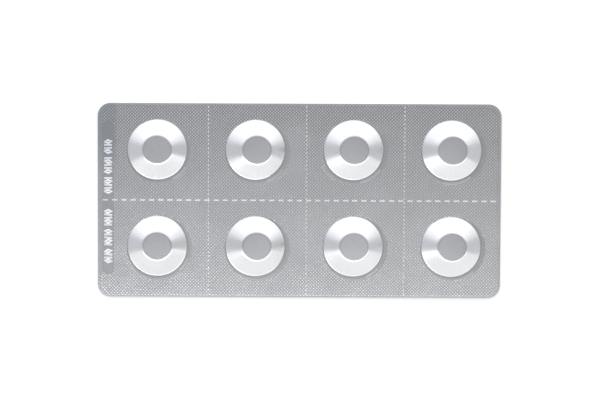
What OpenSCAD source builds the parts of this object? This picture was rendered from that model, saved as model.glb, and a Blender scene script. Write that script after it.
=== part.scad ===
// Sealed aluminium blister card of tablets, lying on its flat lidding foil.
// The origin is the centre of the back, X runs along the card, Z points out of the pockets.

/* [Pockets] */
// Number of pockets along the card
pocket_cols = 4; // [1:1:6]
// Number of pockets across the card
pocket_rows = 2; // [1:1:4]
// Distance between pockets along the card
pitch_x = 23.6; // [20:0.1:30]
// Distance between pockets across the card
pitch_y = 23.2; // [20:0.1:30]
// Diameter of a pocket where its wall meets the card
base_d = 14.4; // [12:0.1:16]
// Diameter of a pocket where its wall meets the plane of its flat top
top_d = 7; // [5:0.1:9]
// Height of a pocket's flat top above the smooth land around it
pocket_depth = 2.8; // [2:0.1:5]
// Radius of the bend at the top of the wall
shoulder_r = 1.1; // [0.5:0.1:1.5]
// Radius of the bend at the foot of the wall
toe_r = 0.4; // [0.2:0.1:0.8]
// How far the pockets sit off the cutting grid, along the card
register_x = -0.5; // [-0.6:0.1:0.6]
// How far the pockets sit off the cutting grid, across the card
register_y = 0.6; // [-0.6:0.1:0.6]

/* [Card] */
// Thickness of the two sealed foils, over the tips of the sealing knurl
card_t = 0.3; // [0.2:0.05:0.6]
// Radius of the four corners
corner_r = 3; // [1:0.5:5]
// Card beyond the last column of pockets
end_margin = 4.2; // [2:0.1:10]
// Card beyond the outer rows of pockets
side_margin = 4.5; // [2:0.1:10]
// Width of the smooth land left around each pocket by the sealing tool
land_w = 0.7; // [0.6:0.05:1.6]
// How deep the smooth areas lie below the tips of the knurl
land_drop = 0.05; // [0.03:0.01:0.1]

/* [Code strip] */
// Width of the smooth strip pressed for the code
strip_w = 3; // [2:0.1:5]
// Card between the strip and the end of the card
strip_edge = 0.95; // [0.5:0.05:3]
// Card between the strip and the first column of pockets
strip_clear = 3.65; // [2.8:0.05:8]
// Card between the ends of the strip and the long sides of the card
strip_end = 4.55; // [3:0.05:8]
// Smooth strip on each side of a mark
mark_side = 0.5; // [0.3:0.05:0.8]
// Smooth strip between its middle and the first mark of each run
mark_start = 2.4; // [1:0.1:4]
// Smooth strip beyond the last mark of each run
mark_end = 4.2; // [1:0.1:6]
// Distance between two marks along the strip
mark_pitch = 0.8; // [0.75:0.05:1.4]
// Width of a lozenge mark along the strip
mark_w = 0.9; // [0.6:0.05:1]
// Width of the raised line that draws a mark
mark_line = 0.24; // [0.15:0.01:0.28]
// Height of the raised line above the strip
mark_h = 0.12; // [0.05:0.01:0.2]

/* [Perforations] */
// Distance between the long cuts that run along the card
dash_pitch = 2.225; // [1.8:0.025:4]
// Length of a long cut
dash_l = 1.4; // [0.8:0.1:1.6]
// Distance between the short cuts that run across the card
dot_pitch = 1; // [0.8:0.05:2]
// Length of a short cut
dot_l = 0.45; // [0.2:0.05:0.6]
// Width of every cut
cut_w = 0.2; // [0.1:0.05:0.3]
// Least card between a cut and the edge of the card
cut_edge = 0.35; // [0.2:0.05:2]

/* [Hidden] */
$fn = 64;
foil_colour = [0.76, 0.77, 0.79];
// Depth by which pieces of one solid run into each other
bite = 0.1;

base_r = base_d / 2;
top_r = top_d / 2;
land_z = card_t - land_drop;
land_r = base_r + land_w;
start_margin = strip_edge + strip_w + strip_clear;
card_l = start_margin + base_d + (pocket_cols - 1) * pitch_x + end_margin;
card_w = 2 * side_margin + base_d + (pocket_rows - 1) * pitch_y;
grid_x = card_l / 2 - end_margin - base_r - (pocket_cols - 1) * pitch_x / 2;

wall_angle = atan2(pocket_depth, base_r - top_r);
shoulder_run = shoulder_r * tan(wall_angle / 2);
toe_run = toe_r * tan(wall_angle / 2);

strip_x = -card_l / 2 + strip_edge + strip_w / 2;
strip_l = card_w - 2 * strip_end;
mark_l = strip_w - 2 * mark_side;
last_mark = floor((strip_l / 2 - mark_start - mark_end) / mark_pitch);
// One mark in three is a lozenge and one place in six is left empty
lozenge_every = 3;
blank_every = 6;

// Centre of a pocket's place on the cutting grid
function place(col, row) = [
    grid_x + (col - (pocket_cols - 1) / 2) * pitch_x,
    (row - (pocket_rows - 1) / 2) * pitch_y
];

// Number of steps between cuts that fit in a length and leave its ends whole
function steps(length, cut, pitch) = floor((length - cut - 2 * cut_edge) / pitch);

// Flat outline with four round corners
module rounded_rectangle(length, width, radius) {
    square([length, width - 2 * radius], center = true);
    square([length - 2 * radius, width], center = true);
    for (sx = [-1, 1], sy = [-1, 1])
        translate([sx * (length / 2 - radius), sy * (width / 2 - radius)])
            circle(r = radius);
}

// Flat outline along Y with half-round ends
module stadium(length, width) {
    square([width, length - width], center = true);
    for (side = [-1, 1])
        translate([0, side * (length - width) / 2])
            circle(d = width);
}

// One row of long cuts along the card, spread evenly about its middle
module dash_row() {
    count = steps(card_l, dash_l, dash_pitch);
    for (i = [0:1:count])
        translate([(i - count / 2) * dash_pitch, 0])
            square([dash_l, cut_w], center = true);
}

// One column of short cuts across the card, which starts half a step off its middle
module dot_column() {
    count = steps(card_w / 2, dot_l, dot_pitch);
    for (side = [-1, 1], i = [0:1:count])
        translate([0, side * (i + 0.5) * dot_pitch])
            square([cut_w, dot_l], center = true);
}

// All the cuts along which one pocket tears off
module perforations() {
    for (row = [1:1:pocket_rows - 1])
        translate([0, (row - pocket_rows / 2) * pitch_y])
            dash_row();
    for (col = [1:1:pocket_cols - 1])
        translate([grid_x + (col - pocket_cols / 2) * pitch_x, 0])
            dot_column();
}

// Smooth areas that the knurled sealing tool leaves clear
module smooth_areas() {
    for (col = [0:pocket_cols - 1], row = [0:pocket_rows - 1])
        translate(place(col, row))
            circle(r = land_r);
    translate([strip_x, register_y])
        stadium(strip_l, strip_w);
}

// The two foils sealed together, with the cuts through both
module card() {
    difference() {
        linear_extrude(card_t)
            difference() {
                rounded_rectangle(card_l, card_w, corner_r);
                perforations();
            }
        translate([0, 0, land_z])
            linear_extrude(land_drop + bite)
                smooth_areas();
    }
}

// Half section of a pocket: a straight wall with an arc at its foot and at its top
module pocket_section() {
    difference() {
        union() {
            polygon([
                [0, -bite],
                [base_r + toe_run, -bite],
                [base_r + toe_run, 0],
                [base_r - toe_run * cos(wall_angle), toe_run * sin(wall_angle)],
                [top_r + shoulder_run * cos(wall_angle), pocket_depth - shoulder_run * sin(wall_angle)],
                [top_r - shoulder_run, pocket_depth],
                [0, pocket_depth]
            ]);
            intersection() {
                translate([top_r - shoulder_run, pocket_depth - shoulder_r])
                    circle(r = shoulder_r);
                square([base_r, pocket_depth]);
            }
        }
        translate([base_r + toe_run, toe_r])
            circle(r = toe_r);
    }
}

// One pocket, pressed up out of the card
module pocket() {
    translate([0, 0, land_z])
        rotate_extrude()
            pocket_section();
}

// Open lozenge drawn with a raised line
module lozenge_mark() {
    points = [[-mark_l / 2, 0], [0, -mark_w / 2], [mark_l / 2, 0], [0, mark_w / 2]];
    difference() {
        polygon(points);
        polygon(points * (1 - 2 * mark_line / mark_w));
    }
}

// Straight stroke across the strip
module stroke_mark() {
    square([mark_l, mark_line], center = true);
}

// Two runs of plain marks, in the place of a stamped code
module marks() {
    translate([strip_x, register_y, land_z - bite])
        linear_extrude(mark_h + bite)
            for (side = [-1, 1], i = [0:1:last_mark])
                if ((i + 1) % blank_every != 0)
                    translate([0, side * (mark_start + i * mark_pitch)])
                        if (i % lozenge_every == 0)
                            lozenge_mark();
                        else
                            stroke_mark();
}

// The whole sealed pack, which is one closed piece
module blister_pack() {
    color(foil_colour)
        union() {
            card();
            for (col = [0:pocket_cols - 1], row = [0:pocket_rows - 1])
                translate(place(col, row) + [register_x, register_y])
                    pocket();
            marks();
        }
}

blister_pack();
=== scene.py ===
# %% [markdown]
# # A blister pack of tablets
# This lesson dresses one sealed aluminium blister card as a product photograph shows it.
# The card is two foils. The thick one is pressed cold into eight blunt cones, one for each tablet,
# and the thin one is flat and sealed to its back. A knurled tool seals them, so every free place is
# covered with tiny pyramids, and rows of short cuts let one pocket be torn off.
# The construction comes from the frame. Everything here works around it and moves none of it.

# %% Load the frame
import math
import bpy
from mathutils import Matrix, Vector


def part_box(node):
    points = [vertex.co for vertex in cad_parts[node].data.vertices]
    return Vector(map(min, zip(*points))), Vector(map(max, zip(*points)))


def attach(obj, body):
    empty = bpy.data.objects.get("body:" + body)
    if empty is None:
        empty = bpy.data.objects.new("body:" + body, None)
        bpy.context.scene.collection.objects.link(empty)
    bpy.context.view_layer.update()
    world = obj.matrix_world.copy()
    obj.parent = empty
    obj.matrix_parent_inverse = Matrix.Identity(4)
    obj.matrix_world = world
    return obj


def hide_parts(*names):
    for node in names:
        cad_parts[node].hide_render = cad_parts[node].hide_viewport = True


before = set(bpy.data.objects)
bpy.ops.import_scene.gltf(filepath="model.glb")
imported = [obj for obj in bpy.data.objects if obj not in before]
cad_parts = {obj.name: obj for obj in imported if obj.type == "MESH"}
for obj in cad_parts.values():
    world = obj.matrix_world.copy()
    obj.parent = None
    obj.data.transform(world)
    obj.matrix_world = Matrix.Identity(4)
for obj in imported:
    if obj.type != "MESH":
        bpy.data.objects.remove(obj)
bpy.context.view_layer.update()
scene = bpy.context.scene

# %% [markdown]
# The sizes of the card are those of its construction, in millimetres, because tenths of a
# millimetre are easier to read than ten-thousandths of a metre. The trees below work in
# millimetres too, and shrink their result to metres at their very end.

# %% Sizes of the card, in millimetres
MM = 0.001
node_low, node_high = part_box("blister_pack")
card_length = (node_high[0] - node_low[0]) / MM
card_width = (node_high[1] - node_low[1]) / MM
corner_radius = 3.0
columns = 4
rows = 2
pitch_x = 23.6
pitch_y = 23.2
end_margin = 4.2
base_radius = 7.2
top_radius = 3.5
land_radius = 7.9
register = (-0.5, 0.6)
seal_level = 0.06
land_level = 0.25
headroom = 0.01
pocket_depth = node_high[2] / MM - land_level - headroom
grid_x = card_length / 2 - end_margin - base_radius - (columns - 1) * pitch_x / 2
print("the card is", round(card_length, 2), "by", round(card_width, 2), "mm")
print("its pockets stand", round(pocket_depth, 2), "mm over their lands")
print("the cutting grid is centred at x =", round(grid_x, 2))

# %% [markdown]
# ## Writing node trees as formulas
# A tree drawn by hand shows its wires, but a tree written in code is easier to read as a formula.
# `Wire` stands for one output of a node. Adding or multiplying wires adds Math nodes, so
# `a * 2 + b` makes two of them and gives the output of the second. The Math node is the same in
# geometry and in materials, so one class serves both.

# %% A wire, and helpers that add nodes
class Wire:
    """One output of a node. Sums and products of wires add Math nodes to its tree."""

    def __init__(self, tree, socket):
        self.tree = tree
        self.socket = socket

    def other(self, name):
        """Another output of the same node."""
        return Wire(self.tree, self.socket.node.outputs[name])

    def maths(self, operation, *others):
        """The output of a Math node whose first input is this wire."""
        values = dict(enumerate((self, *others)))
        return add(self.tree, "ShaderNodeMath", values, operation=operation)

    def __add__(self, other):
        return self.maths("ADD", other)

    def __sub__(self, other):
        return self.maths("SUBTRACT", other)

    def __mul__(self, other):
        return self.maths("MULTIPLY", other)

    def __truediv__(self, other):
        return self.maths("DIVIDE", other)

    def __lt__(self, other):
        return self.maths("LESS_THAN", other)

    def __gt__(self, other):
        return self.maths("GREATER_THAN", other)

    def flipped(self):
        """One minus this."""
        return self * -1.0 + 1.0

    def ramp(self, start, end, low=0.0, high=1.0, kind="LINEAR"):
        """Runs from low to high while this wire runs from start to end, and stays there."""
        values = {"Value": self, "From Min": start, "From Max": end, "To Min": low, "To Max": high}
        return add(self.tree, "ShaderNodeMapRange", values, interpolation_type=kind)


def add(tree, kind, inputs=None, output=0, **settings):
    """Adds a node, sets its choices and fills its inputs with numbers or wires."""
    node = tree.nodes.new(kind)
    for name, value in settings.items():
        setattr(node, name, value)
    for key, value in (inputs or {}).items():
        if isinstance(value, Wire):
            tree.links.new(value.socket, node.inputs[key])
        else:
            node.inputs[key].default_value = value
    return Wire(tree, node.outputs[output])


def vector(tree, x=0.0, y=0.0, z=0.0):
    """A vector from three numbers or wires."""
    return add(tree, "ShaderNodeCombineXYZ", {"X": x, "Y": y, "Z": z})


def parts_of(wire):
    """The three numbers of a vector."""
    split = add(wire.tree, "ShaderNodeSeparateXYZ", {"Vector": wire})
    return split, split.other("Y"), split.other("Z")


def noise(wire, scale, detail=2.0, roughness=0.5):
    """Soft random values from 0 to 1 over a place."""
    values = {"Vector": wire, "Scale": scale, "Detail": detail, "Roughness": roughness}
    return add(wire.tree, "ShaderNodeTexNoise", values)


# %% [markdown]
# ## Running a tree
# A Geometry Nodes tree runs as a modifier. Each of its sizes is a named input, so the same tree
# serves a card of another size. The result is copied to a plain mesh, because the exported model
# keeps no modifiers, and the object that carried the modifier is thrown away.

# %% Start a tree, close it, and run it to a plain mesh
def new_tree(name, sizes):
    """A Geometry Nodes tree with an input for each size and one for its material."""
    tree = bpy.data.node_groups.new(name, "GeometryNodeTree")
    tree.interface.new_socket("Geometry", in_out="OUTPUT", socket_type="NodeSocketGeometry")
    for label, value in sizes.items():
        kind = "NodeSocketInt" if isinstance(value, int) else "NodeSocketFloat"
        tree.interface.new_socket(label, in_out="INPUT", socket_type=kind)
    tree.interface.new_socket("Material", in_out="INPUT", socket_type="NodeSocketMaterial")
    entry = tree.nodes.new("NodeGroupInput")
    return tree, {socket.name: Wire(tree, socket) for socket in entry.outputs if socket.name}


def close_tree(tree, wires, geometry):
    """Shades the solid, shrinks it to metres, realizes it and gives it its material."""
    angle = add(tree, "GeometryNodeInputMeshEdgeAngle")
    knurled = add(tree, "GeometryNodeInputNamedAttribute", {"Name": "knurled"}, data_type="FLOAT")
    # An edge has the mean of its two faces: 1 inside the knurl, 0.5 on its border, 0 outside
    crisp = ((knurled > 0.05) + (angle > wires["Crease angle"])) * (knurled < 0.95)
    smooth = add(tree, "GeometryNodeSetShadeSmooth", {"Geometry": geometry, "Shade Smooth": True})
    creased = add(
        tree,
        "GeometryNodeSetShadeSmooth",
        {"Geometry": smooth, "Selection": crisp, "Shade Smooth": False},
        domain="EDGE",
    )
    plain = add(tree, "GeometryNodeRemoveAttribute", {"Geometry": creased, "Name": "knurled"})
    shrunk = add(tree, "GeometryNodeTransform", {"Geometry": plain, "Scale": (MM, MM, MM)})
    real = add(tree, "GeometryNodeRealizeInstances", {"Geometry": shrunk})
    done = add(tree, "GeometryNodeSetMaterial", {"Geometry": real, "Material": wires["Material"]})
    tree.links.new(done.socket, tree.nodes.new("NodeGroupOutput").inputs[0])


def run_tree(name, tree, sizes, material):
    """Evaluates the tree once and gives a finished object at the origin."""
    carrier = bpy.data.objects.new("carrier", bpy.data.meshes.new("carrier"))
    scene.collection.objects.link(carrier)
    modifier = carrier.modifiers.new("Nodes", "NODES")
    modifier.node_group = tree
    values = {**sizes, "Material": material}
    for item in tree.interface.items_tree:
        if item.in_out == "INPUT":
            modifier[item.identifier] = values[item.name]
    evaluated = carrier.evaluated_get(bpy.context.evaluated_depsgraph_get())
    mesh = bpy.data.meshes.new_from_object(evaluated)
    carrier.modifiers.remove(modifier)
    bpy.data.objects.remove(carrier)
    mesh.name = name
    piece = bpy.data.objects.new(name, mesh)
    scene.collection.objects.link(piece)
    triangles = sum(len(face.vertices) - 2 for face in mesh.polygons)
    print(name, "has", triangles, "triangles")
    return piece


# %% [markdown]
# ## Small closed solids
# The foils are put together with booleans. Blender's Manifold solver is exact enough for a tenth of
# a millimetre and takes a fraction of a second for a hundred thousand faces, but it only works on
# closed solids. So each helper below makes one: a prism over a curve, a plain block, and copies of
# a solid at the points of a grid.

# %% Prisms, blocks and copies
# Points closer than this become one point
weld_distance = 0.0001
# How far a cutter reaches past what it cuts
beyond = 1.0
# How far two solids run into each other where they are joined
hair = 0.02


def join(tree, *geometries):
    """Several geometries as one."""
    node = tree.nodes.new("GeometryNodeJoinGeometry")
    for geometry in geometries:
        tree.links.new(geometry.socket, node.inputs[0])
    return Wire(tree, node.outputs[0])


def moved(geometry, x=0.0, y=0.0, z=0.0, turn=0.0):
    """A geometry turned about Z, then moved."""
    tree = geometry.tree
    values = {"Geometry": geometry, "Translation": vector(tree, x, y, z), "Rotation": (0.0, 0.0, turn)}
    return add(tree, "GeometryNodeTransform", values)


def boolean(operation, first, *others):
    """Cuts the others from the first solid, joins them all, or keeps what they share."""
    tree = first.tree
    node = tree.nodes.new("GeometryNodeMeshBoolean")
    node.operation = operation
    node.solver = "MANIFOLD"
    entry = "Mesh 1" if operation == "DIFFERENCE" else "Mesh 2"
    tree.links.new(first.socket, node.inputs[entry])
    for other in others:
        tree.links.new(other.socket, node.inputs["Mesh 2"])
    return Wire(tree, node.outputs["Mesh"])


def prism(curve, low, high):
    """A closed prism over a flat closed curve, between two levels."""
    tree = curve.tree
    flat = add(tree, "GeometryNodeFillCurve", {"Curve": curve}, mode="NGONS")
    floor = moved(flat, z=low)
    up = {"Mesh": floor, "Offset": (0.0, 0.0, 1.0), "Offset Scale": high - low, "Individual": False}
    raised = add(tree, "GeometryNodeExtrudeMesh", up)
    turned = add(tree, "GeometryNodeFlipFaces", {"Mesh": floor})
    both = join(tree, raised, turned)
    return add(tree, "GeometryNodeMergeByDistance", {"Geometry": both, "Distance": weld_distance})


def rounded_sheet(tree, length, width, radius):
    """A rectangle with round corners, as a curve."""
    sheet = add(
        tree,
        "GeometryNodeCurvePrimitiveQuadrilateral",
        {"Width": length, "Height": width},
    )
    corners = {"Curve": sheet, "Count": 16, "Radius": radius}
    return add(tree, "GeometryNodeFilletCurve", corners, mode="POLY")


def wedge(tree, low_size, high_size, low, high):
    """A block whose four sides lean, as the flanks of a cut or of a stamped stroke do."""
    block = add(tree, "GeometryNodeMeshCube", {"Size": (1.0, 1.0, 1.0)})
    x, y, z = parts_of(add(tree, "GeometryNodeInputPosition"))
    length = z.ramp(-0.5, 0.5, low_size[0], high_size[0])
    width = z.ramp(-0.5, 0.5, low_size[1], high_size[1])
    place = vector(tree, x * length, y * width, z.ramp(-0.5, 0.5, low, high))
    return add(tree, "GeometryNodeSetPosition", {"Geometry": block, "Position": place})


def copies(points, solid, turn=0.0):
    """A copy of a solid at every point, as plain geometry."""
    tree = points.tree
    turned = moved(solid, turn=turn)
    placed = add(tree, "GeometryNodeInstanceOnPoints", {"Points": points, "Instance": turned})
    return add(tree, "GeometryNodeRealizeInstances", {"Geometry": placed})


def grid_points(tree, count_x, count_y, step_x, step_y, x=0.0, y=0.0):
    """Points in even columns and rows around a centre."""
    values = {
        "Size X": (count_x - 1) * step_x,
        "Size Y": (count_y - 1) * step_y,
        "Vertices X": count_x,
        "Vertices Y": count_y,
    }
    return moved(add(tree, "GeometryNodeMeshGrid", values), x, y)


# %% [markdown]
# ## The knurl
# On the real card two steel plates with pyramids press the hot foils together. Their pattern is a
# fine square mesh that stands on its corner, about half a millimetre from one line to the next.
# It could be a bump texture, but then the mesh would be flat from the side and in every export. So
# each cell of a turned grid is raised by itself, and its top is shrunk to a small plateau.
# The pressure isn't the same everywhere: slow noise makes some patches fainter, and a few soft
# places near the pockets are pressed less. The crowns are painted brighter as a highlight and the
# grooves darker as painted shade, less of it towards the card's low side, and each face keeps this.
# A second attribute marks the faces of the knurl. Pressed foil has no sharp edges, so inside the
# knurl every edge is shaded smooth, and only the border of the knurl stays crisp.

# %% Knurled slab
# Soft places of the knurl: x, y and reach in mm, and the share of the pressure at the middle
soft_places = (
    (-1.3, 14.5, 6.0, 0.45),
    (-1.0, 8.0, 5.0, 0.5),
    (-1.2, -11.5, 6.0, 0.78),
    (-43.0, -9.0, 3.0, 0.8),
    (-43.5, -16.5, 4.0, 0.75),
    (22.5, -14.0, 5.0, 0.85),
)
# Share of a soft place's reach over which the pressure stays at its least
soft_core = 0.2
# Below this place the grooves' painted shade is no more than the low side's
groove_shade_end_y = -card_width / 5
print("soft places of the knurl:", len(soft_places))


def tool_pressure(tree, wires):
    """How hard the sealing tool pressed at a place, as a share of its full pressure."""
    place = add(tree, "GeometryNodeInputPosition")
    x, y, z = parts_of(place)
    # The streaks slant up to the right, so their noise is squeezed across that slant
    along = vector(tree, x + y * 0.8, y * 2.6 - x * 1.6)
    patches = noise(place, wires["Patch scale"], detail=2.0).ramp(0.3, 0.55)
    streaks = noise(along, wires["Patch scale"] * 0.6, detail=2.0).ramp(0.28, 0.5)
    even = y.ramp(card_width / 2, -card_width / 2, 1.0, wires["Low side pressure"])
    pressure = (patches * streaks).ramp(0.0, 1.0, wires["Least pressure"], 1.0) * even
    for soft_x, soft_y, reach, least in soft_places:
        away = add(
            tree,
            "ShaderNodeVectorMath",
            {0: vector(tree, x - soft_x, y - soft_y), 1: (0.0, 0.0, 0.0)},
            output="Value",
            operation="DISTANCE",
        )
        pressure = pressure * away.ramp(reach * soft_core, reach, least, 1.0, "SMOOTHSTEP")
    return pressure


def crown_kept(geometry, value, name="crown"):
    """Keeps a value on each face. As the crown it is painted light on the face, and painted shade below
    0.
    """
    kept = {"Geometry": geometry, "Name": name, "Value": value}
    return add(geometry.tree, "GeometryNodeStoreNamedAttribute", kept, data_type="FLOAT", domain="FACE")


def knurled_slab(tree, wires):
    """A slab that covers the card, with a blunt pyramid on every cell of its top."""
    cell = wires["Knurl pitch"]
    reach = (wires["Card length"] + wires["Card width"]) / math.sqrt(2) / cell
    spare_cells = 2.0
    count = reach.maths("CEIL") + spare_cells
    side = count * cell
    thickness = beyond
    shape = {
        "Size": vector(tree, side, side, thickness),
        "Vertices X": count + 1.0,
        "Vertices Y": count + 1.0,
    }
    block = add(tree, "GeometryNodeMeshCube", shape)
    placed = moved(block, z=wires["Valley level"] - thickness / 2, turn=math.radians(45))
    pressure = tool_pressure(tree, wires)
    facing = parts_of(add(tree, "GeometryNodeInputNormal"))[2]
    press = {
        "Mesh": placed,
        "Selection": facing > 0.5,
        "Offset Scale": wires["Knurl height"] * pressure,
        "Individual": True,
    }
    raised = add(tree, "GeometryNodeExtrudeMesh", press)
    chance = {"Min": 0.94, "Max": 1.06, "Seed": wires["Seed"]}
    uneven = add(tree, "FunctionNodeRandomValue", chance, output=1, data_type="FLOAT")
    tops = {
        "Geometry": raised,
        "Selection": raised.other("Top"),
        "Scale": wires["Knurl plateau"] * uneven,
    }
    shrunk = add(tree, "GeometryNodeScaleElements", tops)
    # Painted light: the crowns get a painted highlight and the grooves painted shade, more towards the
    # high side
    y = parts_of(add(tree, "GeometryNodeInputPosition"))[1]
    amounts = (wires["High side groove shade"], wires["Low side groove shade"])
    groove_shade = y.ramp(card_width / 2, groove_shade_end_y, *amounts)
    crowns = raised.other("Top") * wires["Crown highlight"]
    painted_light_and_shade = (crowns - raised.other("Side") * groove_shade) * uneven * pressure
    return crown_kept(crown_kept(shrunk, painted_light_and_shade), facing > 0.3, "knurled")


# %% [markdown]
# ## The pockets
# A pocket is cold-formed: a punch stretches the foil into a blunt cone, round at the shoulder where
# the tablet's face pushed and tight at the foot where the die held it. It stands on a smooth ring,
# the land, because the sealing plate has a hole there. The punch and the sealing plate are two
# stations of one machine and never line up quite, so the pocket sits off the centre of its land.
# A lathe profile would do, but a grid bent round into a disc keeps rings where dents need them:
# its columns become the angle, its rows the radius, and a formula gives each ring its height.
# The land is painted darker as shade at the foot of the pocket, most on its low side, and it
# falls away gently outwards.

# %% Pocket on its land
# Painted shade of the land at the foot of the pocket and at its outer edge
foot_shade = 0.75
land_edge_shade = 0.25
# Share of it at the left and the right, and what the low side has more and the high side less
mean_shade_share = 0.65
low_side_more = 0.35


def cone_height(wires, radius):
    """Height of a pocket over its land at a radius: flat top, shoulder, wall and toe."""
    angle = wires["Wall angle"]
    base = wires["Base radius"]
    shoulder = wires["Shoulder radius"]
    toe = wires["Toe radius"]
    half_tangent = (angle / 2.0).maths("TANGENT")
    shoulder_run = shoulder * half_tangent
    toe_run = toe * half_tangent
    out = (radius - wires["Top radius"] + shoulder_run).maths("MAXIMUM", 0.0)
    inwards = (base + toe_run - radius).maths("MAXIMUM", 0.0)
    shoulder_fall = shoulder - (shoulder * shoulder - out * out).maths("MAXIMUM", 0.0).maths("SQRT")
    bulge = (radius * radius) / (wires["Top radius"] * wires["Top radius"])
    dome = wires["Pocket depth"] - shoulder_fall - bulge * wires["Top bulge"]
    wall = (base - radius) * angle.maths("TANGENT") - wires["Top bulge"]
    foot = toe - (toe * toe - inwards * inwards).maths("MAXIMUM", 0.0).maths("SQRT")
    in_dome = radius < wires["Top radius"] + shoulder_run * angle.maths("COSINE")
    in_foot = radius > base - toe_run * angle.maths("COSINE")
    return dome * in_dome + wall * (in_dome + in_foot).flipped() + foot * in_foot


def pocket_disc(tree, wires):
    """One pocket on its smooth land, as a closed solid."""
    # After the rings comes a row at the level of the seal, and one that closes the bottom
    rings = wires["Rings"]
    shape = {
        "Size X": 1.0,
        "Size Y": 1.0,
        "Vertices X": wires["Segments"] + 1.0,
        "Vertices Y": rings + 3.0,
    }
    grid = add(tree, "GeometryNodeMeshGrid", shape)
    along, across, unused = parts_of(grid.other("UV Map"))
    row = (across * (rings + 2.0)).maths("ROUND")
    on_top = row < rings + 0.5
    closing = row > rings + 1.5
    radius = wires["Land radius"] * (row / rings).maths("MINIMUM", 1.0) * closing.flipped()
    turn = along * (2 * math.pi)
    out_x = turn.maths("COSINE")
    out_y = turn.maths("SINE")
    toe_end = wires["Base radius"] + wires["Toe radius"]
    outwards = radius.ramp(toe_end, wires["Land radius"])
    width = wires["Land radius"] - toe_end - out_x * wires["Register x"] - out_y * wires["Register y"]
    fall = outwards * outwards * width * wires["Land lean"] / 2.0
    height = wires["Land level"] + cone_height(wires, radius) - fall
    level = height * on_top + wires["Seal level"] * on_top.flipped()
    follow = outwards.flipped() * closing.flipped()
    x = radius * out_x + wires["Register x"] * follow
    y = radius * out_y + wires["Register y"] * follow
    bent = {"Geometry": grid, "Position": vector(tree, x, y, level)}
    disc = add(tree, "GeometryNodeSetPosition", bent)
    merged = add(tree, "GeometryNodeMergeByDistance", {"Geometry": disc, "Distance": weld_distance})
    # Painted shade: the land is painted darker next to the pocket's foot, most on its low side
    face_radius = wires["Land radius"] * (across * (rings + 2.0)) / rings
    foot = wires["Base radius"]
    beyond_foot = face_radius.ramp(foot - 0.1, foot + 0.05)
    shade_outwards = face_radius.ramp(foot + 0.15, wires["Land radius"], -foot_shade, -land_edge_shade)
    shaded_disc = crown_kept(merged, beyond_foot * shade_outwards * (out_y * -low_side_more + mean_shade_share))
    return add(tree, "GeometryNodeFlipFaces", {"Mesh": shaded_disc})


def pocket_points(tree):
    """The places of the pockets on the cutting grid."""
    return grid_points(tree, columns, rows, pitch_x, pitch_y, x=grid_x)


# %% [markdown]
# No two pockets come out alike. The foil springs back a little more on one side, so the flat top
# leans, and handling leaves soft dents. After the copies are real, one formula pushes the points of
# all of them: sideways in proportion to their height, and up and down with slow noise.

# %% Spring-back and handling
# How far the flat tops of each column lean to the right, in mm
column_leans = (0.15, 0.5, 0.16, 0.1)
# How far a wall swells along and across the card, in mm
swell_along = 0.08
swell_across = 0.06


def spring_back(pockets, wires):
    """Leans and dents the pockets, each in its own way, and leaves their undersides flat."""
    tree = pockets.tree
    place = add(tree, "GeometryNodeInputPosition")
    x, y, z = parts_of(place)
    lift = (z - wires["Land level"]).maths("MAXIMUM", 0.0) / wires["Pocket depth"]
    column = ((x - grid_x) / pitch_x + (columns - 1) / 2).maths("ROUND")
    lean = add(tree, "GeometryNodeIndexSwitch", {"Index": column}, data_type="FLOAT")
    switch = lean.socket.node
    while len(switch.index_switch_items) < columns:
        switch.index_switch_items.new()
    for index, amount in enumerate(column_leans):
        switch.inputs[index + 1].default_value = amount
    dent = noise(place, wires["Dent scale"], detail=1.0) - 0.5
    swell = noise(place, wires["Dent scale"] * 2.5, detail=2.0) - 0.5
    above = z > wires["Seal level"] + 0.01
    push = vector(
        tree,
        lean * lift + swell * lift * swell_along,
        swell * lift * swell_across,
        (dent * wires["Dent depth"] - wires["Dent depth"] * 0.5) * above,
    )
    return add(tree, "GeometryNodeSetPosition", {"Geometry": pockets, "Offset": push})


# %% [markdown]
# ## Creases at the foot
# A card that has been packed and handled has small folds where the foil could give way least, which
# is beside the foot of a pocket, on its land or just past it. Each is a short arc with a blunt
# ridge. The arcs are listed by pocket, because a rule would put them where no thumb has pressed.

# %% Creases
def toe_creases(tree, wires):
    """Short bright folds on the lands, as closed solids."""
    folds = []
    for column, row, reach, start_angle, sweep in crease_arcs:
        arc = {
            "Resolution": 12,
            "Radius": reach,
            "Start Angle": math.radians(start_angle),
            "Sweep Angle": math.radians(sweep),
        }
        curve = add(tree, "GeometryNodeCurveArc", arc, mode="RADIUS")
        section = add(tree, "GeometryNodeCurvePrimitiveCircle", {"Resolution": 4, "Radius": 1.0})
        flat = vector(tree, wires["Crease width"], wires["Crease height"], 1.0)
        profile = add(tree, "GeometryNodeTransform", {"Geometry": section, "Scale": flat})
        swept = {"Curve": curve, "Profile Curve": profile, "Fill Caps": True}
        ridge = add(tree, "GeometryNodeCurveToMesh", swept)
        x = grid_x + (column - (columns - 1) / 2) * pitch_x + register[0]
        y = (row - (rows - 1) / 2) * pitch_y + register[1]
        folds.append(moved(ridge, x, y, wires["Land level"]))
    return join(tree, *folds)


# %% Values of the creases: column, row, radius in mm, start and sweep in degrees
crease_arcs = (
    (0, 1, 7.85, -62, 30),
    (1, 1, 8.0, -70, 34),
    (1, 1, 8.7, -52, 22),
    (2, 1, 7.9, -78, 42),
    (2, 1, 8.4, 208, 30),
    (3, 1, 7.95, -104, 50),
    (0, 0, 7.8, -48, 26),
    (2, 0, 7.9, -66, 24),
    (3, 0, 8.1, -84, 36),
)
print("creases on the lands:", len(crease_arcs))
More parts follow.
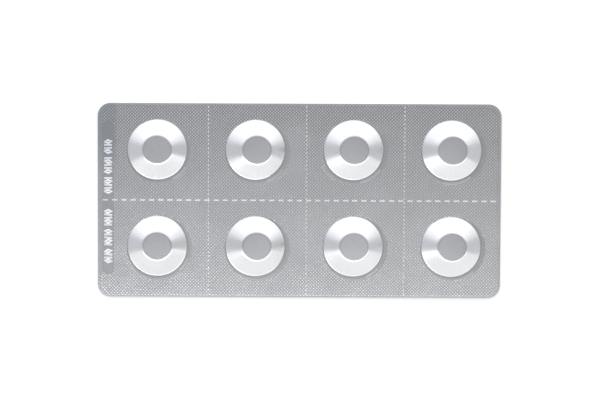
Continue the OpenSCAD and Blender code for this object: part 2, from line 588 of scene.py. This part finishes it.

# %% [markdown]
# ## Cuts and marks
# The long cuts run along the card and the short ones across it. A knife pushes the foil down before
# it parts, so each cut has four small sloping lips, and the lips are what shines in the photograph.
# A cut is a small solid at each point of a grid, which is what instances are for.
# The marks on the strip are plain strokes and lozenges, and their flanks lean too. Each is turned
# a little by a given amount, so a loop places them.

# %% Cuts
def cut_copies(tree, wires, length, width, depth, count_x, count_y, step_x, step_y, x, turn):
    """The slots of one row or column of cuts, and the wider wedges that leave their lips."""
    low = wires["Seal level"] - beyond
    lip = wires["Card level"] - depth
    short = wires["Lip slope"].maths("POWER", -1.0) * (depth * -2.0) + length
    slot = wedge(tree, (short, width), (short, width), low, lip + beyond / 2)
    rise = depth + lip_reach
    spread = wires["Lip slope"].maths("POWER", -1.0) * (rise * 2.0)
    inner = (short - hair, width - hair)
    lips = wedge(tree, inner, (spread + short, spread + width), lip, lip + rise)
    points = grid_points(tree, count_x, count_y, step_x, step_y, x=x)
    return copies(points, slot, turn), copies(points, lips, turn)


def dash_cuts(tree, wires):
    """The long cuts along the card."""
    return cut_copies(
        tree, wires, dash_length, dash_width, dash_depth, dash_count, 1, dash_pitch, 0.0, 0.0, 0.0
    )


def dot_cuts(tree, wires):
    """The short cuts across the card."""
    across = (columns - 1, dot_count, pitch_x, dot_pitch, grid_x, math.radians(90))
    return cut_copies(tree, wires, dot_length, dot_width, dot_depth, *across)


# %% Marks
def strip_marks(tree, wires):
    """Two runs of strokes and lozenges on the strip, in two sets so that none meets its neighbour."""
    low = wires["Land level"] - hair
    high = wires["Land level"] + wires["Mark height"]
    length = wires["Mark length"]
    foot = wires["Mark line"]
    stroke = wedge(tree, (length, foot), (length - mark_inset * 2, mark_crest), low, high)
    ring = add(tree, "GeometryNodeCurvePrimitiveCircle", {"Resolution": 4, "Radius": 1.0})
    section = add(tree, "GeometryNodeCurvePrimitiveCircle", {"Resolution": 4, "Radius": 1.0})
    flat = {"Geometry": section, "Scale": vector(tree, foot / 2.0, wires["Mark height"], 1.0)}
    profile = add(tree, "GeometryNodeTransform", flat)
    shaped = {
        "Geometry": ring,
        "Scale": vector(
            tree,
            length / 2.0 - mark_inset,
            wires["Mark width"] / 2.0 - mark_inset,
            1.0,
        ),
        "Translation": vector(tree, z=wires["Land level"]),
    }
    outline = add(tree, "GeometryNodeTransform", shaped)
    lozenge = add(tree, "GeometryNodeCurveToMesh", {"Curve": outline, "Profile Curve": profile})
    groups = ([], [])
    for side in (-1, 1):
        for index in range(mark_places):
            if (index + 1) % blank_every == 0:
                continue
            mark = lozenge if index % lozenge_every == 0 else stroke
            y = mark_middle + side * (mark_start + index * mark_pitch)
            lean = mark_leans[index % len(mark_leans)] * side
            groups[index % 2].append(moved(mark, strip_x, y, turn=math.radians(lean)))
    return join(tree, *groups[0]), join(tree, *groups[1])


# %% Values of the cuts and marks, in millimetres and degrees
dash_pitch = 2.225
dash_length = 1.4
dash_width = 0.06
dash_depth = 0.12
dash_count = 43
dot_pitch = 1.0
dot_length = 0.45
dot_width = 0.05
dot_depth = 0.11
dot_count = 46
lip_reach = 0.2
strip_width = 3.0
strip_length = 37.5
strip_edge = 0.95
strip_x = -card_length / 2 + strip_edge + strip_width / 2
mark_leans = (0.0, 7.0, -6.0, 3.0, 0.0, -8.0, 5.0)
mark_inset = 0.1
mark_crest = 0.1
mark_middle = -0.4
mark_start = 2.4
mark_pitch = 0.8
mark_places = 16
lozenge_every = 3
blank_every = 6
print("marks on each side of the strip's middle:", mark_places - mark_places // blank_every)

# %% [markdown]
# ## The formed foil
# The tree now reads like the machine. A knurled slab is trimmed to the outline and gets a narrow
# flat band along it. The lands and the strip are cut out of the knurl, and the strip comes back
# smooth and painted darker as shade, with a flat rim beside it. The band then slopes down a little
# all round, as sheared foil does, and along the low side the shears leave a bevel painted dark as a
# shadow line. The marks are stamped, the knives of the perforation go through, and last come the
# pockets on their lands, and the creases. Each hole is a hair smaller than what fills it, so that
# the two solids overlap and become one closed skin.

# %% Formed foil
foil_sizes = {
    "Card length": card_length,
    "Card width": card_width,
    "Corner radius": corner_radius,
    "Seal level": seal_level,
    "Card level": 0.29,
    "Valley level": 0.24,
    "Knurl pitch": 0.553,
    "Knurl height": 0.054,
    "Knurl plateau": 0.5,
    "Least pressure": 0.86,
    "Low side pressure": 0.76,
    "High side groove shade": 0.65,
    "Low side groove shade": 0.02,
    "Crown highlight": 0.5,
    "Patch scale": 0.09,
    "Seed": 7,
    "Land level": land_level,
    "Land radius": land_radius,
    "Base radius": base_radius,
    "Top radius": top_radius,
    "Shoulder radius": 1.1,
    "Toe radius": 0.4,
    "Pocket depth": pocket_depth,
    "Wall angle": math.atan2(pocket_depth, base_radius - top_radius),
    "Land lean": 0.1,
    "Rim lean": 0.05,
    "Rim width": 0.3,
    "Cut edge lean": 1.2,
    "Top bulge": 0.04,
    "Register x": register[0],
    "Register y": register[1],
    "Rings": 48,
    "Segments": 72,
    "Dent scale": 0.12,
    "Dent depth": 0.03,
    "Lip slope": 0.7,
    "Crease width": 0.34,
    "Crease height": 0.04,
    "Mark height": 0.12,
    "Mark line": 0.5,
    "Mark length": 2.0,
    "Mark width": 0.9,
    "Crease angle": math.radians(24),
}
# Painted shade: the smooth strip is painted darker, and the bevel along the low side darker still, as a
# shadow line
strip_shade = 0.3
low_edge_shadow = 1.0
rim_overlap = 0.04


def leaning_edge(tree, wires, sheet, level, lean, all_round):
    """A block that trims the rim to a slope from a level up, all round or along the low side."""
    low = wires["Seal level"] - beyond / 2
    block = prism(sheet, low, low + beyond)
    x, y, z = parts_of(add(tree, "GeometryNodeInputPosition"))
    inset = (z - level) / lean
    low_side = (y < 0.0).maths("MAXIMUM", all_round)
    place = vector(
        tree,
        x * (inset * -2.0 * all_round / wires["Card length"] + 1.0),
        y * (inset * -2.0 * low_side / wires["Card width"] + 1.0),
        z,
    )
    return add(tree, "GeometryNodeSetPosition", {"Geometry": block, "Position": place})


def formed_foil_tree():
    """The tree of the formed foil."""
    tree, wires = new_tree("formed foil", foil_sizes)
    low = wires["Seal level"] - beyond
    high = wires["Seal level"] + beyond * 2
    sheet = rounded_sheet(tree, wires["Card length"], wires["Card width"], wires["Corner radius"])
    outline = prism(sheet, wires["Seal level"], high)
    card = boolean("INTERSECT", knurled_slab(tree, wires), outline)
    inner = rounded_sheet(
        tree,
        wires["Card length"] - wires["Rim width"] * 2.0,
        wires["Card width"] - wires["Rim width"] * 2.0,
        wires["Corner radius"] - wires["Rim width"],
    )
    band = prism(sheet, wires["Seal level"], wires["Card level"])
    band = boolean("DIFFERENCE", band, prism(inner, low, high))
    card = boolean("UNION", card, band)

    land_hole = {"Resolution": 80, "Radius": wires["Land radius"] - hair}
    land_curve = add(tree, "GeometryNodeCurvePrimitiveCircle", land_hole)
    holes = copies(pocket_points(tree), prism(land_curve, low, high))
    strip_hole = rounded_sheet(
        tree, strip_width - hair * 2, strip_length - hair * 2, strip_width / 2 - hair
    )
    strip_cutter = moved(prism(strip_hole, low, high), strip_x, register[1])
    dashes = dash_cuts(tree, wires)
    dots = dot_cuts(tree, wires)
    card = boolean("DIFFERENCE", card, join(tree, holes, strip_cutter))

    pockets = spring_back(copies(pocket_points(tree), pocket_disc(tree, wires)), wires)
    folds = toe_creases(tree, wires)
    strip_curve = rounded_sheet(tree, strip_width, strip_length, strip_width / 2)
    strip = moved(prism(strip_curve, wires["Seal level"], wires["Land level"]), strip_x, register[1])
    # The strip is painted darker, as shade
    strip = crown_kept(strip, -strip_shade)
    rim_width = strip_x - strip_width / 2 + card_length / 2
    rim_curve = rounded_sheet(tree, rim_width, strip_length, 0.2)
    rim_x = strip_x - strip_width / 2 + rim_overlap - rim_width / 2
    rim = moved(prism(rim_curve, wires["Seal level"], wires["Card level"]), rim_x, register[1])
    slope = leaning_edge(tree, wires, sheet, wires["Valley level"], wires["Rim lean"], 1.0)
    cut_edge = leaning_edge(tree, wires, sheet, wires["Seal level"], wires["Cut edge lean"], 0.0)
    card = boolean("UNION", card, strip, rim)
    # The bevel along the low side is painted dark, as a shadow line
    card = boolean("INTERSECT", card, slope, crown_kept(cut_edge, -low_edge_shadow))
    card = boolean("UNION", card, *strip_marks(tree, wires))
    card = boolean("DIFFERENCE", card, join(tree, dashes[0], dots[0]))
    card = boolean("DIFFERENCE", card, join(tree, dashes[1], dots[1]))
    close_tree(tree, wires, boolean("UNION", card, pockets, folds))
    return tree


# %% [markdown]
# ## The lidding foil
# The thin foil on the back is sealed by the same tool, so it carries the same knurl, shallower and
# facing down, with smooth discs where the pockets are. The slab of the first tree is used again,
# mirrored, and the knives pass through it in the same places.

# %% Lidding foil
lidding_sizes = {
    **foil_sizes,
    "Seal level": 0.058,
    "Valley level": -0.03,
    "Knurl height": 0.029,
    "Land level": 0.012,
}


def mirrored(geometry):
    """A solid turned upside down as in a mirror on the floor, with its faces outwards again."""
    tree = geometry.tree
    values = {"Geometry": geometry, "Scale": (1.0, 1.0, -1.0)}
    return add(tree, "GeometryNodeFlipFaces", {"Mesh": add(tree, "GeometryNodeTransform", values)})


def lidding_foil_tree():
    """The tree of the lidding foil."""
    tree, wires = new_tree("lidding foil", lidding_sizes)
    sheet = rounded_sheet(tree, wires["Card length"], wires["Card width"], wires["Corner radius"])
    low = wires["Seal level"] - beyond
    high = wires["Seal level"] + beyond
    outline = prism(sheet, low, wires["Seal level"])
    card = boolean("INTERSECT", mirrored(knurled_slab(tree, wires)), outline)
    hole = add(
        tree,
        "GeometryNodeCurvePrimitiveCircle",
        {"Resolution": 80, "Radius": wires["Base radius"] - hair},
    )
    holes = copies(pocket_points(tree), prism(hole, low, high))
    disc = add(
        tree,
        "GeometryNodeCurvePrimitiveCircle",
        {"Resolution": 80, "Radius": wires["Base radius"]},
    )
    discs = copies(pocket_points(tree), prism(disc, wires["Land level"], wires["Seal level"]))
    card = boolean("UNION", boolean("DIFFERENCE", card, holes), discs)
    slots = join(tree, dash_cuts(tree, wires)[0], dot_cuts(tree, wires)[0])
    close_tree(tree, wires, boolean("DIFFERENCE", card, slots))
    return tree


# %% [markdown]
# ## Foil as a material
# Aluminium foil is a bare metal: its colour is its reflection, so the base colour stays nearly
# white and the roughness does the work. Rolling leaves fine lines, the seal coat dulls the metal
# where it was pressed, and fingers leave faint smears. Each of these is a noise on Object
# coordinates, which keeps its size on the card from any view. The value kept on the faces paints
# a highlight on the crowns of the knurl and shade in its grooves, at the pockets' feet, on the
# strip and on the low cut edge. Beside the upper part of the strip the metal is painted a darker
# blue, as shade.

# %% Foil material
def foil_material(name, colour, rough_low, rough_high, bump, crown_contrast, blue_shade):
    """Metal with rolling lines, soft smears and a fine grain, with painted light and shade from the
    faces' value.
    """
    material = bpy.data.materials.new(name)
    material.use_nodes = True
    tree = material.node_tree
    shader = tree.nodes["Principled BSDF"]
    shader.inputs["Metallic"].default_value = 1.0
    place = add(tree, "ShaderNodeTexCoord", output=3)
    x, y, z = parts_of(place)
    rolled = vector(tree, x * 0.06, y, z * 0.3)
    # The scales are per metre: lines of 0.2 mm, smears of 11 mm and a grain of 0.4 mm
    lines = noise(rolled, 5200.0, detail=3.0)
    smears = noise(place, 90.0, detail=4.0, roughness=0.6)
    grain = noise(place, 2600.0, detail=2.0)
    roughness = (lines * 0.35 + smears * 0.65).ramp(0.3, 0.7, rough_low, rough_high)
    tree.links.new(roughness.socket, shader.inputs["Roughness"])
    crown = add(tree, "ShaderNodeAttribute", output="Fac", attribute_name="crown")
    # The crown value paints light and shade: a highlight on the knurl's crowns, shade in its grooves
    # and elsewhere
    tone = (smears * 0.85 + grain * 0.15).ramp(0.3, 0.7, 0.95, 1.04) * (crown * crown_contrast + 1.0)
    # Beside the upper part of the strip the colour is painted darker and bluer, as shade
    beside = x.ramp(blue_shade_edge * MM, (blue_shade_edge + blue_shade_fade) * MM, blue_shade, 0.0)
    blue_shade_mask = beside * y.ramp(blue_shade_low_y * MM, blue_shade_high_y * MM)
    channels = [tone * share * (blue_shade_mask * -loss + 1.0) for share, loss in zip(colour, blue_shade_loss)]
    tint = vector(tree, *channels)
    tree.links.new(tint.socket, shader.inputs["Base Color"])
    waves = noise(place, 60.0, detail=1.0)
    relief = grain * 0.04 + lines * 0.04 + waves * 6.0
    values = {"Height": relief, "Strength": 1.0, "Distance": bump}
    tree.links.new(add(tree, "ShaderNodeBump", values).socket, shader.inputs["Normal"])
    return material


# Where the painted blue shade beside the strip ends and fades, in mm, and how much red, green and blue
# it takes
blue_shade_edge = strip_x + strip_width / 2
blue_shade_fade = 1.0
blue_shade_low_y = 5.0
blue_shade_high_y = 12.0
blue_shade_loss = (0.17, 0.15, 0.12)

# %% [markdown]
# ## The two pieces
# Each tree is run once. Both foils belong to the card's only body, and together they take the
# place of its plain solid. The formed foil is the smoother and bluer metal. The lidding foil lies
# hidden in the photograph, so it has no painted blue shade, and its painted crown highlights and
# groove shade differ less.

# %% Run the two trees
formed_metal = foil_material(
    "formed foil",
    colour=(0.86, 0.868, 0.885),
    rough_low=0.2,
    rough_high=0.27,
    bump=0.000008,
    crown_contrast=0.5,
    blue_shade=1.0,
)
formed_foil = run_tree("formed_foil", formed_foil_tree(), foil_sizes, formed_metal)
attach(formed_foil, "root")
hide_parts("blister_pack")

sealed_metal = foil_material(
    "lidding foil",
    colour=(0.87, 0.872, 0.878),
    rough_low=0.24,
    rough_high=0.32,
    bump=0.000006,
    crown_contrast=0.3,
    blue_shade=0.0,
)
lidding_foil = run_tree("lidding_foil", lidding_foil_tree(), lidding_sizes, sealed_metal)
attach(lidding_foil, "root")
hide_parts("blister_pack")

# %% [markdown]
# ## Floor
# The card lies on a white sweep. Seen straight on, the sweep is pure white in the photograph, and
# only a thin shadow hugs the card's lower edge. A diffuse floor alone would be a little grey, so
# part of its light is added for camera, mirror and glass rays alone, and the studio stays as it is.
# That added light would fill the contact shadow. So ambient occlusion, which here looks slantwise
# up and back over the card, takes the added light away close to the card's lower edge.

# %% Floor
def light_paths(tree):
    """Is 1 where the camera, a mirror or a glass looks, and 0 for the light on the object."""
    path = add(tree, "ShaderNodeLightPath")
    seen = path.maths("MAXIMUM", path.other("Is Glossy Ray"))
    return seen.maths("MAXIMUM", path.other("Is Transmission Ray"))


def make_floor():
    """A large white sheet with a soft shadow and a white look."""
    reach = 3.0
    mesh = bpy.data.meshes.new("floor")
    corners = [(-reach, -reach, 0.0), (reach, -reach, 0.0), (reach, reach, 0.0), (-reach, reach, 0.0)]
    mesh.from_pydata(corners, [], [(0, 1, 2, 3)])
    floor = bpy.data.objects.new("floor", mesh)
    scene.collection.objects.link(floor)
    material = bpy.data.materials.new("white sweep")
    material.use_nodes = True
    tree = material.node_tree
    tree.nodes.remove(tree.nodes["Principled BSDF"])
    paper = add(tree, "ShaderNodeBsdfDiffuse", {"Color": (floor_tone, floor_tone, floor_tone, 1.0)})
    lookout = {"Distance": shadow_reach, "Normal": vector(tree, *shadow_aim)}
    open_sky = add(tree, "ShaderNodeAmbientOcclusion", lookout, output="AO", samples=8)
    strength = open_sky * open_sky * open_sky * floor_glow
    glow = add(tree, "ShaderNodeEmission", {"Color": (1.0, 1.0, 1.0, 1.0), "Strength": strength})
    black = add(tree, "ShaderNodeEmission", {"Strength": 0.0})
    chosen = add(tree, "ShaderNodeMixShader", {0: light_paths(tree), 1: black, 2: glow})
    both = add(tree, "ShaderNodeAddShader", {0: paper, 1: chosen})
    tree.links.new(both.socket, tree.nodes["Material Output"].inputs["Surface"])
    mesh.materials.append(material)


floor_tone = 0.55
floor_glow = 0.68
shadow_reach = 0.002
shadow_aim = (0.0, 0.9, 0.436)
make_floor()
print("floor: tone", floor_tone, "and added light", floor_glow)

# %% [markdown]
# ## Light
# A mirror-like card shows its studio, so the studio is built to be seen. A long soft light stands
# behind the card and a pale wall in front of it, both low, and the camera looks down from a grey
# ceiling between them. The ends of the room stay darker. That gives the cones their bright flanks
# above and below, their grey cheeks left and right, and their calm grey tops. It is drawn in the
# world's shader as a function of direction, so that it has no edges a mirror could pick out.
# One thing in it is a real sheet: a white board close to the card's lower edge. It stands so near
# that each pocket sees it at another angle, which light that depends on direction alone can't do.
# It is brightest towards its left, and fades out at that end.

# %% Studio
def make_studio():
    """Sets the world: bright behind, pale in front, grey above and dim at both ends."""
    world = bpy.data.worlds.new("studio")
    world.use_nodes = True
    tree = world.node_tree
    direction = add(tree, "ShaderNodeTexCoord")
    x, y, z = parts_of(direction)
    # The x and y of a direction are the sines of its lean from straight up
    off_zenith = (x * x + y * y).maths("SQRT")
    overhead = off_zenith.ramp(0.15, 0.45, 1.0, 0.0, "SMOOTHSTEP")
    sides = x.maths("ABSOLUTE").ramp(0.05, 0.25, 1.0, 0.75)
    ceiling = y.ramp(0.08, -0.22, ceiling_light, near_light) * sides
    ends = off_zenith.ramp(0.55, 0.9, middle_light, end_light, "SMOOTHSTEP")
    sky = ends + (ceiling - middle_light) * overhead
    spill = y.ramp(0.15, 0.45, 0.0, 1.0, "SMOOTHSTEP") * (spill_light - middle_light)
    behind = y.ramp(0.45, 0.62, 0.0, 1.0, "SMOOTHSTEP") * (back_light - spill_light)
    front = y.ramp(-0.6, -0.72, 0.0, 1.0, "SMOOTHSTEP") * (front_light - middle_light)
    level = sky + spill + behind + front
    seen = add(tree, "ShaderNodeLightPath")
    background = tree.nodes["Background"]
    # The room is a little bluer towards its left end
    blue = x.ramp(0.0, -0.16, 1.02, 1.05)
    tint = vector(tree, level * 0.99, level, level * blue)
    tree.links.new(tint.socket, background.inputs["Color"])
    white = add(tree, "ShaderNodeBackground", {"Color": (1.0, 1.0, 1.0, 1.0), "Strength": 1.0})
    chosen = add(tree, "ShaderNodeMixShader", {0: seen, 1: Wire(tree, background.outputs[0]), 2: white})
    tree.links.new(chosen.socket, tree.nodes["World Output"].inputs["Surface"])
    scene.world = world


def make_board():
    """A white board that stands close to the card's lower edge, out of the picture."""
    mesh = bpy.data.meshes.new("board")
    left = board_x - board_width / 2
    right = board_x + board_width / 2
    corners = [
        (right, board_y, board_foot),
        (left, board_y, board_foot),
        (left, board_y, board_top),
        (right, board_y, board_top),
    ]
    mesh.from_pydata(corners, [], [(0, 1, 2, 3)])
    board = bpy.data.objects.new("board", mesh)
    board.visible_camera = False
    scene.collection.objects.link(board)
    material = bpy.data.materials.new("white board")
    material.use_nodes = True
    tree = material.node_tree
    tree.nodes.remove(tree.nodes["Principled BSDF"])
    x, y, z = parts_of(add(tree, "ShaderNodeTexCoord", output=3))
    across = x.ramp(-board_turn, board_turn, board_left_light, board_right_light)
    upper = across * x.ramp(board_fade_end, board_fade_start, board_end_share, 1.0)
    share = z.ramp(board_top * upper_from, board_top * upper_full)
    strength = upper * share + share.flipped() * board_low_light
    glow = add(tree, "ShaderNodeEmission", {"Color": (1.0, 1.0, 1.0, 1.0), "Strength": strength})
    tree.links.new(glow.socket, tree.nodes["Material Output"].inputs["Surface"])
    mesh.materials.append(material)


back_light = 1.0
spill_light = 0.8
front_light = 0.9
near_light = 0.68
ceiling_light = 0.36
middle_light = 0.36
end_light = 0.6
board_x = -0.005
board_y = -0.075
board_top = 0.15
board_width = 0.45
board_low_light = 0.96
board_left_light = 2.8
board_right_light = 1.45
board_foot = 0.004
board_turn = 0.1
board_fade_start = -0.12
board_fade_end = -0.18
board_end_share = 0.35
upper_from = 0.25
upper_full = 0.7
make_studio()
make_board()
print("light: behind", back_light, "in front", front_light, "above", ceiling_light)

# %% [markdown]
# ## Camera
# The photograph was taken from nearly straight above, so the flat tops hide as much of one side of
# a cone as of the other. The card's upper edge is a little longer than its lower one, so the camera
# stood a little behind it. The far edge and the near edge give the distance and the tilt.

# %% Camera
def make_camera():
    """A long lens above the card, turned so that +Y is up in the picture."""
    data = bpy.data.cameras.new("camera")
    data.lens = lens
    data.clip_start = 0.01
    camera = bpy.data.objects.new("camera", data)
    scene.collection.objects.link(camera)
    aim = Vector((aim_x, aim_y, 0.0))
    away = Vector((0.0, math.sin(tilt), math.cos(tilt)))
    up = Vector((-math.sin(roll), math.cos(roll), 0.0))
    side = up.cross(away).normalized()
    top = away.cross(side)
    turn = Matrix((side, top, away)).transposed().to_4x4()
    camera.matrix_world = Matrix.Translation(aim + away * distance) @ turn
    scene.camera = camera


distance = 0.369
lens = 91.82
tilt = math.radians(2.72)
roll = math.radians(0.24)
aim_x = 0.00017
aim_y = 0.00012
make_camera()
print("camera:", round(distance / MM), "mm away, tilted by", round(math.degrees(tilt), 2), "degrees")

# %% Picture settings
scene.view_settings.view_transform = "Standard"
